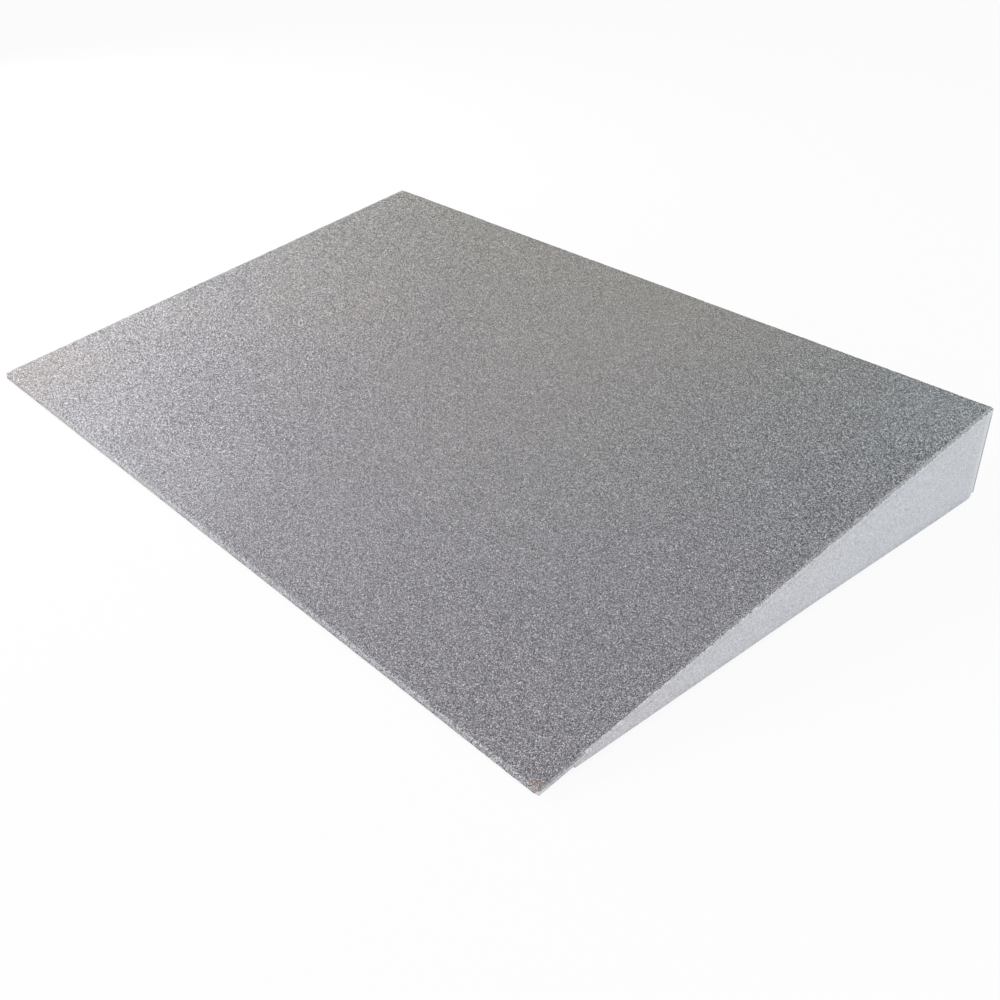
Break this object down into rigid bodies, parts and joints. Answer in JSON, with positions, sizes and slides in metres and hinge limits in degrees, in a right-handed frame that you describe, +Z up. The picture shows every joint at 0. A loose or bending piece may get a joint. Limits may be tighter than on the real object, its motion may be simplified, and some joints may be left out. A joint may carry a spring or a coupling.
{
  "type": "threshold ramp",
  "caption": "Rigid wedge ramp of welded metal plate with a gritted anti-slip deck, closed sides and a ribbed underside, for rolling a wheelchair over a door sill or low step.",
  "frame": {"origin": "on the floor, at the centre of the ramp's footprint", "axes": "+X across the ramp to the right of someone going up it, +Y up the ramp towards the high end, +Z up"},
  "size_m": [0.914, 0.607, 0.0998],
  "materials": {
    "plate": "satin",
    "grit": "matte",
    "weld": "satin"
  },
  "bodies": {
    "root": {"deck_plate": "plate", "grit_coat": "grit", "rear_plate": "plate", "left_gusset": "plate", "left_rib": "plate", "centre_rib": "plate", "right_rib": "plate", "right_gusset": "plate", "left_corner_weld": "weld", "right_corner_weld": "weld", "rear_plate_weld": "weld", "left_gusset_weld": "weld", "left_rib_weld": "weld", "centre_rib_weld": "weld", "right_rib_weld": "weld", "right_gusset_weld": "weld", "left_rib_rear_weld": "weld", "centre_rib_rear_weld": "weld", "right_rib_rear_weld": "weld"}
  },
  "joints": []
}
